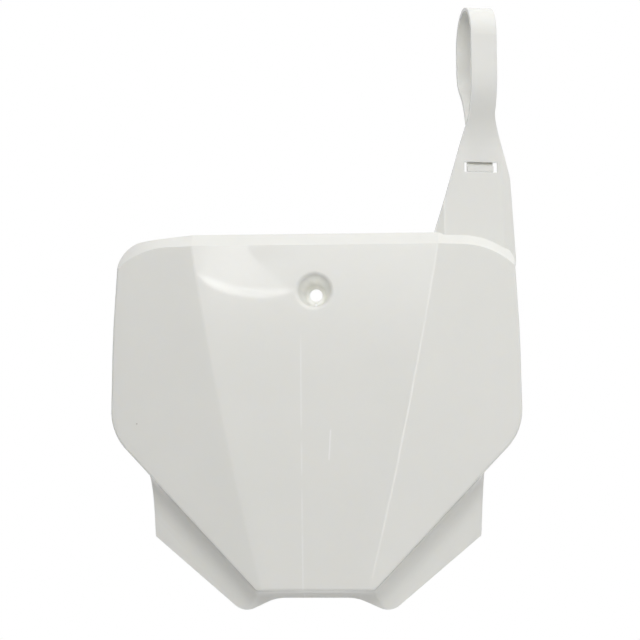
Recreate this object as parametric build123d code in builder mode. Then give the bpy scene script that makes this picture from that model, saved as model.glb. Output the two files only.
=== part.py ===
from build123d import *
from math import acos, asin, cos, degrees, radians, sin, tan
import os

# A moulded front number board for an off-road motorbike, in millimetres and degrees.
# The origin is the bolt hole's centre on the floor of its cup. The front faces -Y and +Z is up.

# Moulded shell
wall = 2.2                    # thickness of the shell and its tab
return_depth = 12.0           # how far the top and side walls reach back from the front faces
edge_round = 1.5              # rounding where the front faces turn into the walls
crease_round = 6.0            # rounding of the creases between the front faces

# Front faces: a centre panel and two side panels that sweep back from it
panel_top = 27.0              # height of the crisp line under the top lip
panel_height = 198.0          # from there down to the bottom edge
panel_crown = 3.5             # forward bulge at mid-height
crease_half_top = 71.5        # half width of the centre panel at its top
crease_half_bottom = 30.6     # half width of the centre panel at its bottom
crease_bow = 2.0              # how far each crease bows outwards
side_sweep = 11.0             # angle of the side panels

# Outline seen from the front, with each corner given before its rounding
board_half = 119.3            # half width at the lower corners
lower_corner_round = 32.0
side_inset = 0.9              # from the full half width to the side's slight bend
side_drop = 52.0              # from the crisp line down to that bend
side_round = 600.0
upper_corner_inset = 3.9
upper_corner_drop = 4.0       # from the top edge down to the upper corner
upper_corner_round = 16.0
rim_bend_round = 60.0         # rounding where the top edge starts to fall towards its corners
skirt_outset = 3.0            # from the crease's foot out to the end of the bottom edge
skirt_corner_round = 3.0
skirt_angle = 46.5            # rise of the diagonal edges

# Top lip, which leans back from the crisp line to the top edge
lip_rise = 7.6
lip_angle = 45.0
lip_level_inset = 34.0        # where the crisp line starts to curve down to the corner
lip_end_inset = 6.3           # where it runs out at the side
lip_end_drop = 9.5

# Coved skirts below the diagonal and bottom edges
cove_run = 2.0                # depth of the straight wall behind the edge
cove_radius = 22.0            # hollow round that follows it
flange_lean = 15.0            # lean of the flange that the cove runs out into

# Feet that the skirts end in, measured from the ends of the bottom edge
foot_edge_inset = 22.3        # from the full half width to the top of each foot's upright edge
foot_taper = 1.5              # how far that edge leans in on its way down
foot_corner_rise = 30.4
foot_corner_round = 1.2
foot_tip_outset = 9.0
foot_tip_drop = 13.8
foot_tip_round = 10.5
foot_rise_inset = 10.5        # where the rise between the feet levels out
foot_rise_round = 22.0
skirt_drop = 4.8              # from the bottom edge down to that level

# Bolt cup
cup_depth = 22.0              # from the front of the panel to the floor
cup_mouth_radius = 9.5
cup_floor_radius = 6.2
cup_floor = 2.5               # thickness of the floor
cup_floor_round = 1.8
cup_mouth_round = 2.2
bolt_radius = 3.75            # clearance for a 6 mm bolt
drain_width = 1.2
drain_height = 2.6
drain_drop = 6.2              # from the hole's centre down to the middle of the drain slit

# Strap tab behind the lip, with its widths measured along the tab from the full half width
tab_setback = 6.0             # from the side panel's front to the tab's front
tab_outer_side = 7.1          # bent side next to the board's corner
tab_flat = 35.0               # flat face between the creases
tab_inner_side = 5.6          # bent side next to the board's middle
tab_bend = 25.0               # angle of the bent sides
tab_bend_round = 2.0          # rounding of their creases
tab_knee_inset = 2.3          # where the outer edge starts to lean in
tab_knee_rise = 33.0          # from the top edge up to there
tab_neck_rise = 17.5          # from the strap's start up to where the tab is as narrow as the strap
tab_foot_inset = 3.6          # where the outer edge has run down into the board's side wall
tab_foot_drop = 14.0          # from the end of the crisp line down to there
tab_round = 20.0              # rounding of those bends
slot_rise = 38.8              # from the top edge up to the slot's middle
slot_side_room = 2.35         # left on each side of the strap
slot_top_room = 2.3           # left above the strap's end

# Strap, which loops over and hooks its own end into the slot from behind
strap_thickness = 2.2
strap_width = 15.2
strap_inset = 13.0            # from the outer crease of the tab to the strap's middle
strap_start_rise = 12.1       # from the slot's middle up to where the strap leaves the tab's flat
strap_bulge = 11.4            # how far the front of the loop stands forward of the tab
strap_bend_radius = 40.0      # bends of the front of the loop
eye_radius = 20.5             # outside of the loop over its top
eye_straight = 12.5           # straight stretch at the back of the loop
hook_bend_radius = 46.0       # bend where the back of the loop closes on the tab
hook_straight = 15.0          # stretch that lies along the tab
hook_gap = 0.6                # from the strap's end to the tab and to the slot's lower edge
hook_thickness = 3.2

# How far construction volumes reach past the part
reach = 40.0
span = 200.0

panel_bottom = panel_top - panel_height
panel_middle = panel_top - panel_height / 2
rim_top = panel_top + lip_rise
lip_end_height = panel_top - lip_end_drop
sweep_slope = tan(radians(side_sweep))
skirt_slope = tan(radians(skirt_angle))
skirt_corner_half = crease_half_bottom + skirt_outset
foot_edge_half = board_half - foot_edge_inset
lower_corner_height = panel_bottom + (board_half - skirt_corner_half) * skirt_slope
notch_height = panel_bottom + (foot_edge_half - skirt_corner_half) * skirt_slope


def panel_front(height):
    """Depth of the centre panel's front: a parabola over its height, through the cup's mouth."""
    rise = (height - panel_middle) ** 2 - panel_middle ** 2
    return -cup_depth + panel_crown * rise / (panel_height / 2) ** 2


def crease_half(height):
    """Half width of the centre panel: a straight taper plus a parabolic bow."""
    share = (height - panel_bottom) / panel_height
    taper = crease_half_bottom + share * (crease_half_top - crease_half_bottom)
    return taper + 4 * crease_bow * share * (1 - share)


def side_front(half, height):
    """Depth of a side panel's front at a distance from the middle plane."""
    return panel_front(height) + (half - crease_half(height)) * sweep_slope


def behind_faces(inset):
    """All that lies behind the three front faces, each set back by inset."""
    heights = (panel_top, panel_middle, panel_bottom)
    centre = [(panel_front(height) + inset, height) for height in heights]
    side_inset = inset / cos(radians(side_sweep))
    swept = [(side_front(0, height) + side_inset, height) for height in heights]
    with BuildPart() as volume:
        for front, lean in ((centre, 0), (swept, side_sweep), (swept, 180 - side_sweep)):
            crown = ThreePointArc(*front, mode=Mode.PRIVATE)
            spread = degrees(asin(span / crown.radius))
            with BuildSketch(Plane.YZ):
                with BuildLine():
                    face = CenterArc(crown.arc_center, crown.radius, 180 - spread, 2 * spread)
                    Polyline(face @ 1, (span, (face @ 1).Y), (span, (face @ 0).Y), face @ 0)
                make_face()
            along = (cos(radians(lean)), sin(radians(lean)), 0)
            extrude(amount=span, dir=along, both=True, mode=Mode.INTERSECT if lean else Mode.ADD)
    return volume.part


def board_outline():
    """The board without its feet, seen from the front."""
    with BuildSketch(Plane.XZ) as outline:
        with BuildLine():
            rounded = FilletPolyline(
                (0, rim_top),
                (crease_half_top, rim_top),
                (board_half - upper_corner_inset, rim_top - upper_corner_drop),
                (board_half - side_inset, panel_top - side_drop),
                (board_half, lower_corner_height),
                (skirt_corner_half, panel_bottom),
                radius=[rim_bend_round, upper_corner_round, side_round, lower_corner_round],
            )
            Polyline(rounded @ 1, (0, panel_bottom), rounded @ 0)
        make_face()
        mirror(about=Plane.YZ)
    return outline.sketch


def feet_outline():
    """The two feet and the skirt between them, up to just above the notches."""
    corner_height = panel_bottom + foot_corner_rise
    lean = foot_taper / (notch_height - corner_height)
    top = notch_height + wall
    bottom = panel_bottom - skirt_drop
    with BuildSketch(Plane.XZ) as outline:
        with BuildLine():
            rounded = FilletPolyline(
                (foot_edge_half + lean * wall, top),
                (foot_edge_half - foot_taper, corner_height),
                (skirt_corner_half + foot_tip_outset, panel_bottom - foot_tip_drop),
                (skirt_corner_half - foot_rise_inset, bottom),
                (0, bottom),
                radius=[foot_corner_round, foot_tip_round, foot_rise_round],
            )
            Polyline(rounded @ 1, (0, top), rounded @ 0)
        make_face()
        mirror(about=Plane.YZ)
    return outline.sketch


def outline_prism(inset):
    """The front outline carried from front to back. Inside the walls the feet's edges stay open."""
    with BuildPart() as volume:
        with BuildSketch(Plane.XZ) as section:
            add(board_outline())
            if inset:
                offset(amount=-inset)
                with Locations((0, notch_height)):
                    Rectangle(2 * span, span, align=(Align.CENTER, Align.MAX))
            else:
                add(feet_outline())
        extrude(section.sketch, amount=span, both=True)
    return volume.part


def below_lip(inset):
    """All that lies under the leaning top lip. Its crisp line is level on the centre panel."""
    front = panel_front(panel_top)

    def foot_point(half, height):
        """A point of the crisp line, slid along the lip to the depth of the line's level stretch."""
        return half, height - (side_front(half, height) - front) * tan(radians(lip_angle))

    start = foot_point(board_half - lip_level_inset, panel_top)
    end = foot_point(board_half - lip_end_inset, lip_end_height)
    with BuildPart() as volume:
        with BuildSketch(Plane.XZ.offset(-front)):
            with BuildLine():
                level = Polyline((0, panel_top), (crease_half_top, panel_top), start)
                curve = TangentArc(level @ 1, end, tangent=level % 1)
                fall = Line(curve @ 1, curve @ 1 + reach * (curve % 1))
                Polyline(fall @ 1, ((fall @ 1).X, -2 * span), (0, -2 * span), level @ 0)
            make_face()
            mirror(about=Plane.YZ)
        extrude(amount=span, dir=(0, cos(radians(lip_angle)), sin(radians(lip_angle))), both=True)
    return Pos(0, 0, -inset / cos(radians(lip_angle))) * volume.part


def behind_cove(corner, outwards, along, inset):
    """All that lies inside a cove: an upright wall, a hollow round and a flange, carried along an edge."""
    radius = cove_radius + inset
    with BuildPart() as volume:
        with BuildSketch(Plane(corner, x_dir=outwards, z_dir=outwards.cross(Vector(0, 1, 0)))):
            with BuildLine():
                upright = Line((-inset, -reach), (-inset, cove_run))
                hollow = CenterArc((cove_radius, cove_run), radius, 180, flange_lean - 90)
                flange = Line(hollow @ 1, hollow @ 1 + 2 * reach * (hollow % 1))
                Polyline(
                    flange @ 1,
                    ((flange @ 1).X, span),
                    (-2 * span, span),
                    (-2 * span, -reach),
                    upright @ 0,
                )
            make_face()
        extrude(amount=2 * span, dir=along, both=True)
    return volume.part


def behind_skirt(inset):
    """All that lies inside the three coves, which meet in ridges below the ends of the bottom edge."""
    corner = Vector(skirt_corner_half, side_front(skirt_corner_half, panel_bottom), panel_bottom)
    far_corner = Vector(board_half, side_front(board_half, lower_corner_height), lower_corner_height)
    edge = (far_corner - corner).normalized()
    out = Vector(sin(radians(skirt_angle)), 0, -cos(radians(skirt_angle)))
    right_cove = behind_cove(corner, out, edge, inset)
    with BuildPart() as volume:
        add(right_cove)
        add(right_cove.mirror(Plane.YZ), mode=Mode.INTERSECT)
        add(behind_cove(corner, Vector(0, 0, -1), Vector(1, 0, 0), inset), mode=Mode.INTERSECT)
        if not inset:
            ends = (corner, Vector(-corner.X, corner.Y, corner.Z))
            ridges = [edges().filter_by(Axis.Y).sort_by_distance(end)[0] for end in ends]
            fillet(ridges, radius=skirt_corner_round)
    return volume.part


def board_block(inset):
    """The board as a full block, before its lip is cut, with every face moved inwards by inset."""
    with BuildPart() as volume:
        add(outline_prism(inset))
        add(behind_skirt(inset), mode=Mode.INTERSECT)
        add(behind_faces(inset), mode=Mode.INTERSECT)
    return volume.part


with BuildPart() as outer:
    add(board_block(0))
    # The creases are the centre panel's longest edges
    centre_face = faces().sort_by(Axis.Y)[0]
    fillet(centre_face.edges().sort_by(SortBy.LENGTH)[-2:], radius=crease_round)
    # The front faces and the rounded creases share one rim. The feet also look forwards, further back.
    forward_faces = faces().filter_by(lambda face: face.normal_at().Y < -cos(radians(lip_angle / 2)))
    front_faces = forward_faces.sort_by(Axis.Y)[:5]
    rim = front_faces.edges().filter_by(lambda edge: sum(edge in face.edges() for face in front_faces) == 1)
    fillet(rim, radius=edge_round)
    add(below_lip(0), mode=Mode.INTERSECT)

with BuildPart() as inner:
    add(board_block(wall))
    add(below_lip(wall), mode=Mode.INTERSECT)

with BuildPart() as behind_returns:
    add(behind_faces(return_depth))
    with Locations((0, 0, notch_height)):
        Box(4 * span, 4 * span, span, align=(Align.CENTER, Align.CENTER, Align.MIN), mode=Mode.INTERSECT)


def cup_cone(grow, front, back):
    """The tapered cup turned about the bolt's axis, grown by grow, between two depths."""
    taper = (cup_mouth_radius - cup_floor_radius) / cup_depth
    with BuildPart() as volume:
        with BuildSketch():
            with BuildLine():
                side = FilletPolyline(
                    (cup_floor_radius + grow - taper * front, front),
                    (cup_floor_radius + grow - taper * back, back),
                    (0, back),
                    radius=cup_floor_round,
                )
                Polyline(side @ 1, (0, front), side @ 0)
            make_face()
        revolve(axis=Axis.Y)
    return volume.part


# The tab's own planes: its front face seen from the front, from above, and the strap seen from the side
tab_along = Vector(cos(radians(side_sweep)), sin(radians(side_sweep)), 0)
tab_back = Vector(-sin(radians(side_sweep)), cos(radians(side_sweep)), 0)
tab_origin = Vector(0, side_front(0, panel_top) + tab_setback / cos(radians(side_sweep)), 0)
tab_right = board_half - tab_outer_side
tab_left = tab_right - tab_flat
strap_middle = tab_right - strap_inset
tab_bottom = lip_end_height - tab_foot_drop
slot_height = rim_top + slot_rise
strap_start = slot_height + strap_start_rise
tab_face = Plane(tab_origin, x_dir=tab_along, z_dir=-tab_back)
tab_plan = Plane(tab_origin + Vector(0, 0, tab_bottom), x_dir=tab_along, z_dir=(0, 0, 1))
strap_side = Plane(tab_origin + strap_middle * tab_along, x_dir=tab_back, z_dir=tab_along)

with BuildPart() as tab:
    # Folded sheet: a flat face between two bent sides
    with BuildSketch(tab_plan):
        with BuildLine():
            side = reach * Vector(cos(radians(tab_bend)), sin(radians(tab_bend)))
            FilletPolyline(
                (tab_left - side.X, side.Y),
                (tab_left, 0),
                (tab_right, 0),
                (tab_right + side.X, side.Y),
                radius=tab_bend_round,
            )
            offset(amount=wall, side=Side.LEFT)
        make_face()
    extrude(amount=strap_start - tab_bottom)
    # The start of the strap bends forwards
    bulge_angle = degrees(acos(1 - strap_bulge / (2 * strap_bend_radius)))
    with BuildSketch(strap_side):
        with BuildLine():
            flat = Line((0, strap_start - wall), (0, strap_start))
            forward = JernArc(flat @ 1, flat % 1, strap_bend_radius, bulge_angle)
            upright = JernArc(forward @ 1, forward % 1, strap_bend_radius, -bulge_angle)
            offset(amount=strap_thickness, side=Side.RIGHT)
        make_face()
    strap_foot = upright @ 1
    extrude(amount=reach, both=True)
    # Outline of the tab, which narrows into the strap
    strap_left = strap_middle - strap_width / 2
    strap_right = strap_middle + strap_width / 2
    with BuildSketch(tab_face):
        with BuildLine():
            right_knee = Vector(board_half - tab_knee_inset, rim_top + tab_knee_rise)
            right_slope = tab_knee_inset / tab_knee_rise
            right_base = Vector(board_half + right_slope * (rim_top - lip_end_height), lip_end_height)
            left_base = Vector(tab_left - tab_inner_side, rim_top)
            left_neck = Vector(strap_left, strap_start + tab_neck_rise)
            right_edge = FilletPolyline(
                (board_half - tab_foot_inset, tab_bottom),
                right_base,
                right_knee,
                (strap_right, strap_start + tab_neck_rise),
                (strap_right, strap_foot.Y),
                radius=tab_round,
            )
            left_edge = FilletPolyline(
                (strap_left, strap_foot.Y),
                left_neck,
                left_base + reach * (left_base - left_neck).normalized(),
                radius=tab_round,
            )
            Line(right_edge @ 1, left_edge @ 0)
            Line(left_edge @ 1, right_edge @ 0)
        make_face()
    extrude(amount=span, both=True, mode=Mode.INTERSECT)
    slot_opening = hook_gap + hook_thickness + slot_top_room
    with BuildSketch(tab_face):
        with Locations((strap_middle, slot_height)):
            Rectangle(strap_width + 2 * slot_side_room, slot_opening)
    extrude(amount=span, both=True, mode=Mode.SUBTRACT)
    add(inner.part, mode=Mode.SUBTRACT)

with BuildPart() as strap:
    hook_back = wall + hook_gap + strap_thickness
    eye_back = 2 * eye_radius - strap_bulge
    close_angle = degrees(acos(1 - (eye_back - hook_back) / (eye_radius + hook_bend_radius)))
    close_drop = (eye_radius + hook_bend_radius) * sin(radians(close_angle))
    hook_bottom = slot_height - slot_opening / 2 + hook_gap
    eye_height = hook_bottom + hook_straight + close_drop + eye_straight
    with BuildSketch(strap_side):
        with BuildLine():
            front = Line(strap_foot, (-strap_bulge, eye_height))
            top = JernArc(front @ 1, front % 1, eye_radius, -180)
            back = Line(top @ 1, (eye_back, eye_height - eye_straight))
            turn_in = JernArc(back @ 1, back % 1, eye_radius, -close_angle)
            turn_down = JernArc(turn_in @ 1, turn_in % 1, hook_bend_radius, close_angle)
            Line(turn_down @ 1, (hook_back, hook_bottom))
            offset(amount=strap_thickness, side=Side.RIGHT)
        make_face()
        with Locations((hook_gap, hook_bottom)):
            Rectangle(hook_back - hook_gap, hook_thickness, align=Align.MIN)
    extrude(amount=strap_width / 2, both=True)

with BuildPart() as number_board:
    add(outer.part)
    add(inner.part, mode=Mode.SUBTRACT)
    add(behind_returns.part, mode=Mode.SUBTRACT)
    # Bolt cup, with its hole and the drain slit below the hole
    add(cup_cone(wall, wall / 2 - cup_depth, cup_floor))
    add(cup_cone(0, -cup_depth - reach, 0), mode=Mode.SUBTRACT)
    fillet(edges().sort_by_distance((0, -cup_depth, cup_mouth_radius))[0], radius=cup_mouth_round)
    with BuildSketch(Plane.XZ):
        Circle(bolt_radius)
        with Locations((0, -drain_drop)):
            Rectangle(drain_width, drain_height)
    extrude(amount=cup_depth / 2, both=True, mode=Mode.SUBTRACT)
    # Strap and the tab that carries it
    add(tab.part)
    add(strap.part)

os.makedirs("parts", exist_ok=True)
number_board.part.label = "number_board"
export_step(number_board.part, "parts/number_board.step")
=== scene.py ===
from math import cos, radians, sin

import bpy
from mathutils import Matrix, Vector


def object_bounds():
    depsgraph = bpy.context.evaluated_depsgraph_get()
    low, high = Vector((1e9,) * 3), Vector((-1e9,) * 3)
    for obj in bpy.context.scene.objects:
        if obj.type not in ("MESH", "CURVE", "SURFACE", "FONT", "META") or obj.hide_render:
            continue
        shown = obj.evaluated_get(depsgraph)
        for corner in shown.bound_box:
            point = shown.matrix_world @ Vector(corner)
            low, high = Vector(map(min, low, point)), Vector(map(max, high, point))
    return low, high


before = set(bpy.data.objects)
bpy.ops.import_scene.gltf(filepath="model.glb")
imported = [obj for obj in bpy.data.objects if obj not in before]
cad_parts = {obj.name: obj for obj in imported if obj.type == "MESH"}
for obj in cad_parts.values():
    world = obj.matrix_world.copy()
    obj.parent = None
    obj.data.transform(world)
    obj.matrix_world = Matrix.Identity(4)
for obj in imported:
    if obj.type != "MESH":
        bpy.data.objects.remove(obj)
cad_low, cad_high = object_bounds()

scene = bpy.context.scene
scene.view_settings.view_transform = "Standard"

# The number board: one injection moulding in white polypropylene, strap and all.
# Its skin is glossy with a faint orange peel, and matt inside the bolt cup. A thin line of lighter colour
# runs down from below the cup, the front has a short stroke of lighter colour, and a dark speck on the
# front.
plastic_ior = 1.49
scatter_share = 0.5
scatter_colour = (1.0, 0.95, 0.85)
scatter_reach = 0.002

board_plastic = bpy.data.materials.new("white_polypropylene")
board_plastic.use_nodes = True
board_nodes = board_plastic.node_tree.nodes
board_shader = board_nodes["Principled BSDF"]
board_shader.inputs["IOR"].default_value = plastic_ior
board_shader.inputs["Subsurface Weight"].default_value = scatter_share
board_shader.inputs["Subsurface Radius"].default_value = scatter_colour
board_shader.inputs["Subsurface Scale"].default_value = scatter_reach


def join(source, target):
    """Links a socket to another one of the same node tree."""
    target.id_data.links.new(source, target)


def parts(vector):
    """A vector's three parts, as the sockets X, Y and Z."""
    node = vector.id_data.nodes.new("ShaderNodeSeparateXYZ")
    join(vector, node.inputs["Vector"])
    return node.outputs


def reckon(operation, first, second=None):
    """One step of arithmetic on a socket. The second value, if there is one, is a socket or a number."""
    node = first.id_data.nodes.new("ShaderNodeMath")
    node.operation = operation
    join(first, node.inputs[0])
    if isinstance(second, bpy.types.NodeSocket):
        join(second, node.inputs[1])
    elif second is not None:
        node.inputs[1].default_value = second
    return node.outputs["Value"]


def product(*values):
    """A socket times further sockets or numbers. The product of masks is 1 where all of them are."""
    result = values[0]
    for value in values[1:]:
        result = reckon("MULTIPLY", result, value)
    return result


def distance(across, up, middle=(0, 0)):
    """How far a point of a plane lies from a middle: the root of the sum of its two squared offsets."""
    across_square = reckon("POWER", reckon("SUBTRACT", across, middle[0]), 2)
    up_square = reckon("POWER", reckon("SUBTRACT", up, middle[1]), 2)
    return reckon("SQRT", reckon("ADD", across_square, up_square))


def fade(value, full, none):
    """1 where value is at full, falling smoothly to 0 at none."""
    node = value.id_data.nodes.new("ShaderNodeMapRange")
    node.interpolation_type = "SMOOTHSTEP"
    join(value, node.inputs["Value"])
    node.inputs["From Min"].default_value = none
    node.inputs["From Max"].default_value = full
    return node.outputs["Result"]


def mottle(scale, detail):
    """A cloudy noise from 0 to 1 that is fixed to the board."""
    node = board_nodes.new("ShaderNodeTexNoise")
    node.inputs["Scale"].default_value = scale
    node.inputs["Detail"].default_value = detail
    join(board_place, node.inputs["Vector"])
    return node.outputs["Fac"]


def tint(under, over, mask):
    """Lays a colour over another, or over what a socket gives, where the mask is 1."""
    node = board_nodes.new("ShaderNodeMix")
    node.data_type = "RGBA"
    join(mask, node.inputs["Factor"])
    if isinstance(under, bpy.types.NodeSocket):
        join(under, node.inputs["A"])
    else:
        node.inputs["A"].default_value = under
    node.inputs["B"].default_value = over
    return node.outputs["Result"]


board_place = board_nodes.new("ShaderNodeTexCoord").outputs["Object"]
axes = parts(board_place)

# Clouds of two close whites
plastic_white = (0.89, 0.888, 0.852, 1)
plastic_grey = (0.872, 0.872, 0.836, 1)
cloud = mottle(scale=14, detail=3)
colour = tint(plastic_white, plastic_grey, fade(cloud, full=0.75, none=0.25))

# Marks lie on faces that look forwards
facing = parts(board_nodes.new("ShaderNodeNewGeometry").outputs["Normal"])
front = fade(facing["Y"], full=-0.6, none=-0.3)

# A thin line of lighter colour leans a little, starts below the cup, and comes and goes on its way down
pale_line_white = (0.945, 0.945, 0.92, 1)
pale_line_x = -0.0079
pale_line_lean = -0.006
pale_line_half_width = 0.0008
pale_line_top = -0.020
pale_line_fade = 0.020
upright_x = reckon("SUBTRACT", axes["X"], reckon("MULTIPLY", axes["Z"], pale_line_lean))
beside_line = reckon("ABSOLUTE", reckon("SUBTRACT", upright_x, pale_line_x))
pale_line = product(
    fade(beside_line, full=0, none=pale_line_half_width),
    fade(mottle(scale=45, detail=2), full=0.5, none=0.3),
    fade(axes["Z"], full=pale_line_top - pale_line_fade, none=pale_line_top),
    front,
)
colour = tint(colour, pale_line_white, pale_line)

# A short straight stroke of lighter colour, a little off the upright
pale_stroke_white = (1.0, 0.99, 0.975, 1)
pale_stroke_middle = (0.0088, -0.0886)
pale_stroke_lean = radians(3.3)
pale_stroke_half_length = 0.0095
pale_stroke_full_half = 0.0076
pale_stroke_half_width = 0.0007
stroke_x = reckon("SUBTRACT", axes["X"], pale_stroke_middle[0])
stroke_z = reckon("SUBTRACT", axes["Z"], pale_stroke_middle[1])
stroke_across = reckon("SUBTRACT", reckon("MULTIPLY", stroke_x, cos(pale_stroke_lean)),
                    reckon("MULTIPLY", stroke_z, sin(pale_stroke_lean)))
stroke_along = reckon("ADD", reckon("MULTIPLY", stroke_x, sin(pale_stroke_lean)),
                   reckon("MULTIPLY", stroke_z, cos(pale_stroke_lean)))
pale_stroke = product(
    fade(reckon("ABSOLUTE", stroke_across), full=0, none=pale_stroke_half_width),
    fade(reckon("ABSOLUTE", stroke_along), full=pale_stroke_full_half, none=pale_stroke_half_length),
    front,
)
colour = tint(colour, pale_stroke_white, pale_stroke)

# The speck is a small round spot near the left edge
speck_brown = (0.58, 0.56, 0.53, 1)
speck_place = (-0.1035, -0.0756)
speck_radius = 0.0006
speck_core_radius = 0.00018
speck = fade(distance(axes["X"], axes["Z"], speck_place), full=speck_core_radius, none=speck_radius)
colour = tint(colour, speck_brown, product(speck, front))
join(colour, board_shader.inputs["Base Color"])

# The gloss varies a little with the clouds, and the cup is matt
gloss_roughness_low = 0.02
gloss_roughness_high = 0.04
cup_roughness = 0.5
cup_radius = 0.0094
cup_blend = 0.00094
gloss_change = reckon("MULTIPLY", cloud, gloss_roughness_high - gloss_roughness_low)
gloss_roughness = reckon("ADD", gloss_change, gloss_roughness_low)
cup = fade(distance(axes["X"], axes["Z"]), full=cup_radius, none=cup_radius + cup_blend)
roughness = reckon("MAXIMUM", gloss_roughness, reckon("MULTIPLY", cup, cup_roughness))
join(roughness, board_shader.inputs["Roughness"])

# Orange peel
peel_strength = 0.01
peel_height = 0.0004
peel = board_nodes.new("ShaderNodeBump")
peel.inputs["Strength"].default_value = peel_strength
peel.inputs["Distance"].default_value = peel_height
join(mottle(scale=300, detail=2), peel.inputs["Height"])
join(peel.outputs["Normal"], board_shader.inputs["Normal"])

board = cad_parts["number_board"]
board.material_slots[0].material = board_plastic

# The studio floor: a pale matt sheet well below the board, whose rim fades into the white sweep.
# The board itself is held by its bolt, so nothing stands on the sheet. From below the sheet is clear.
floor_drop = 0.40
floor_half = 1.0
floor_solid_radius = 0.3
floor_pale = (0.86, 0.86, 0.86, 1)
floor_roughness = 0.9
floor_glow = 0.2
studio_white = (1, 1, 1, 1)


def rectangle(low, high):
    """The four corners of a rectangle in order, from two opposite ones."""
    return [(low[0], low[1]), (high[0], low[1]), (high[0], high[1]), (low[0], high[1])]


def flat_sheet(name, corners, material):
    """A sheet of the studio: one face between four corners."""
    mesh = bpy.data.meshes.new(name)
    mesh.from_pydata(corners, [], [(0, 1, 2, 3)])
    mesh.materials.append(material)
    sheet = bpy.data.objects.new(name, mesh)
    scene.collection.objects.link(sheet)
    return sheet


def looked_at(tree):
    """1 for rays from the camera, a gloss or a glass, and 0 for light that falls on matt surfaces."""
    ray = tree.nodes.new("ShaderNodeLightPath").outputs
    mirrored = reckon("MAXIMUM", ray["Is Glossy Ray"], ray["Is Transmission Ray"])
    return reckon("MAXIMUM", ray["Is Camera Ray"], mirrored)


floor_paint = bpy.data.materials.new("pale_floor")
floor_paint.use_nodes = True
floor_nodes = floor_paint.node_tree.nodes
floor_shader = floor_nodes["Principled BSDF"]
floor_shader.inputs["Base Color"].default_value = floor_pale
floor_shader.inputs["Roughness"].default_value = floor_roughness
floor_shader.inputs["Specular IOR Level"].default_value = 0
floor_shader.inputs["Emission Color"].default_value = studio_white
floor_seen = looked_at(floor_paint.node_tree)
join(reckon("MULTIPLY", floor_seen, floor_glow), floor_shader.inputs["Emission Strength"])
floor_axes = parts(floor_nodes.new("ShaderNodeTexCoord").outputs["Object"])
floor_under = floor_nodes.new("ShaderNodeNewGeometry").outputs["Backfacing"]
floor_reach = reckon("ADD", distance(floor_axes["X"], floor_axes["Y"]),
                     reckon("MULTIPLY", floor_under, floor_half))
join(fade(floor_reach, full=floor_solid_radius, none=floor_half), floor_shader.inputs["Alpha"])
floor_height = cad_low.z - floor_drop
floor_edge = rectangle((-floor_half, -floor_half), (floor_half, floor_half))
floor = flat_sheet("studio_floor", [(x, y, floor_height) for x, y in floor_edge], floor_paint)

# Soft studio light: a white sweep that fills the view, and large round lamps overhead, high in front,
# on the right and behind. A tiny lamp in the bolt cup stands in for the light
# that the cup's white walls throw back and forth.
ambient_strength = 0.20
studio = bpy.data.worlds.new("studio")
scene.world = studio
studio.use_nodes = True
sky = studio.node_tree.nodes
ambient = sky["Background"]
ambient.inputs["Color"].default_value = studio_white
ambient.inputs["Strength"].default_value = ambient_strength
sweep = sky.new("ShaderNodeBackground")
sweep.inputs["Color"].default_value = studio_white
chooser = sky.new("ShaderNodeMixShader")
join(looked_at(studio.node_tree), chooser.inputs["Fac"])
join(ambient.outputs["Background"], chooser.inputs[1])
join(sweep.outputs["Background"], chooser.inputs[2])
join(chooser.outputs["Shader"], sky["World Output"].inputs["Surface"])


def lamp(name, place, aim, size, watts):
    """A round area lamp at place, turned to shine at aim. The gloss doesn't mirror it."""
    light = bpy.data.lights.new(name, "AREA")
    light.shape = "DISK"
    light.size = size
    light.energy = watts
    holder = bpy.data.objects.new(name, light)
    holder.location = place
    holder.rotation_euler = (Vector(aim) - Vector(place)).to_track_quat("-Z", "Y").to_euler()
    holder.visible_camera = False
    holder.visible_glossy = False
    scene.collection.objects.link(holder)


board_middle = (0, -0.02, -0.07)
cup_wall = (-0.006, -0.004, 0.004)
lamp("overhead_lamp", place=(0.3, -0.3, 1.55), aim=board_middle, size=1.0, watts=10.6)
lamp("high_front_lamp", place=(0, -1.8, 0.7), aim=board_middle, size=0.8, watts=15.4)
lamp("front_right_lamp", place=(0.9, -2.0, 0.4), aim=board_middle, size=1.0, watts=2.0)
lamp("right_lamp", place=(1.9, -0.3, 0.3), aim=board_middle, size=1.0, watts=6.4)
lamp("back_lamp", place=(-0.5, 1.8, 0.1), aim=board_middle, size=1.2, watts=10)
lamp("cup_lamp", place=(0.003, -0.015, -0.001), aim=cup_wall, size=0.006, watts=0.0003)

# What the gloss mirrors: three glowing cards in front of the board, which only reflections see.
# The first is the face of a round lamp, cut off straight on one side, with a bright crescent. The strip
# draws the bright line along the right crease, and the top card lightens the upper part of the centre panel.
card_depth = -1.7


def mirror_card(name, low, high):
    """A card between two corners, given as x and z, which adds its glow to what the gloss mirrors.

    Gives the parts of a point's place on the card, and the socket that takes the glow's strength.
    """
    glow = bpy.data.materials.new(name)
    glow.use_nodes = True
    card_nodes = glow.node_tree.nodes
    card_nodes.remove(card_nodes["Principled BSDF"])
    shine = card_nodes.new("ShaderNodeEmission")
    clear = card_nodes.new("ShaderNodeBsdfTransparent")
    both = card_nodes.new("ShaderNodeAddShader")
    join(clear.outputs["BSDF"], both.inputs[0])
    join(shine.outputs["Emission"], both.inputs[1])
    join(both.outputs["Shader"], card_nodes["Material Output"].inputs["Surface"])
    card = flat_sheet(name, [(x, card_depth, z) for x, z in rectangle(low, high)], glow)
    card.visible_camera = False
    card.visible_diffuse = False
    card.visible_transmission = False
    card.visible_shadow = False
    return parts(card_nodes.new("ShaderNodeTexCoord").outputs["Object"]), shine.inputs["Strength"]


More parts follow.
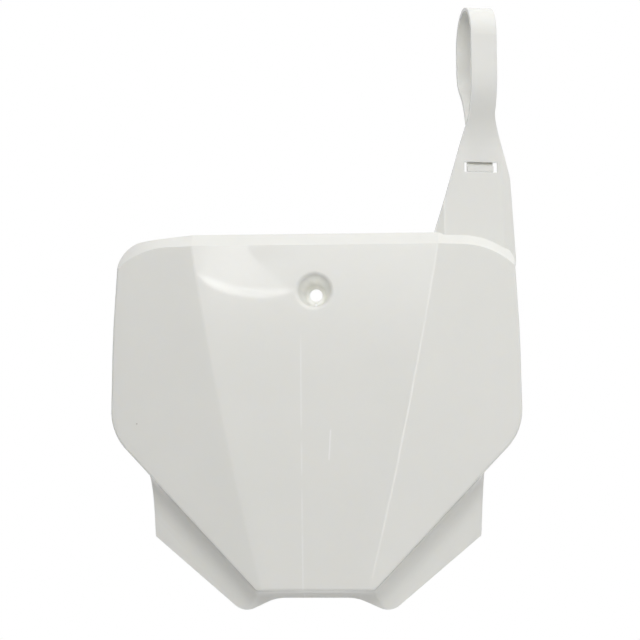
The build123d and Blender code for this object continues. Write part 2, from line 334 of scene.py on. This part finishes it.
face_middle = (-0.185, 0.454)
face_radius = 0.092
face_soft = 0.002
face_glow = 2.3
cut_lean = radians(30.46)
cut_reach = 0.0835
crescent_middle = (-0.150, 0.558)
crescent_radius = 0.171
crescent_glow = 3.5
spot, strength = mirror_card("lamp_face", low=(-0.29, 0.35), high=(-0.08, 0.56))
inside = fade(distance(spot["X"], spot["Z"], face_middle), full=face_radius - face_soft, none=face_radius)
leaning = reckon("ADD", reckon("MULTIPLY", spot["X"], cos(cut_lean)),
                 reckon("MULTIPLY", spot["Z"], sin(cut_lean)))
kept = fade(leaning, full=cut_reach - face_soft, none=cut_reach)
crescent = fade(distance(spot["X"], spot["Z"], crescent_middle),
                full=crescent_radius, none=crescent_radius - face_soft)
power = reckon("ADD", reckon("MULTIPLY", crescent, crescent_glow), face_glow)
join(product(inside, kept, power), strength)

strip_glow = 2.4
strip_low_end = -1.20
strip_low_full = 0.10
strip_high_full = 0.28
strip_high_end = 0.60
spot, strength = mirror_card("strip", low=(0.13, -0.55), high=(0.67, strip_high_end))
strip_lower = fade(spot["Z"], full=strip_low_full, none=strip_low_end)
strip_upper = fade(spot["Z"], full=strip_high_full, none=strip_high_end)
join(product(strip_lower, strip_upper, strip_glow), strength)

top_glow = 2.0
top_start = 0.10
top_full = 0.60
spot, strength = mirror_card("top_card", low=(-0.75, top_start), high=(0.70, 1.2))
join(product(fade(spot["Z"], full=top_full, none=top_start), top_glow), strength)

# The camera: a metre away on the front, a little to the strap's side and below the board's middle.
# It looks up by six degrees and is rolled by a fifth of a degree.
picture_side = 640
focal_pixels = 1740
camera_azimuth = radians(3)
camera_elevation = radians(-6)
camera_roll = radians(-0.21)
camera_distance = 1.0
camera_aim = Vector((0.00339, -0.022, -0.01696))
back = Vector((sin(camera_azimuth) * cos(camera_elevation),
               -cos(camera_azimuth) * cos(camera_elevation),
               sin(camera_elevation)))
level = Vector((cos(camera_azimuth), sin(camera_azimuth), 0))
right = cos(camera_roll) * level + sin(camera_roll) * back.cross(level)
upward = back.cross(right)
camera = bpy.data.objects.new("camera", bpy.data.cameras.new("camera"))
camera.data.lens = camera.data.sensor_width * focal_pixels / picture_side
turn = Matrix((right, upward, back)).transposed().to_4x4()
camera.matrix_world = Matrix.Translation(camera_aim + camera_distance * back) @ turn
scene.collection.objects.link(camera)
scene.camera = camera
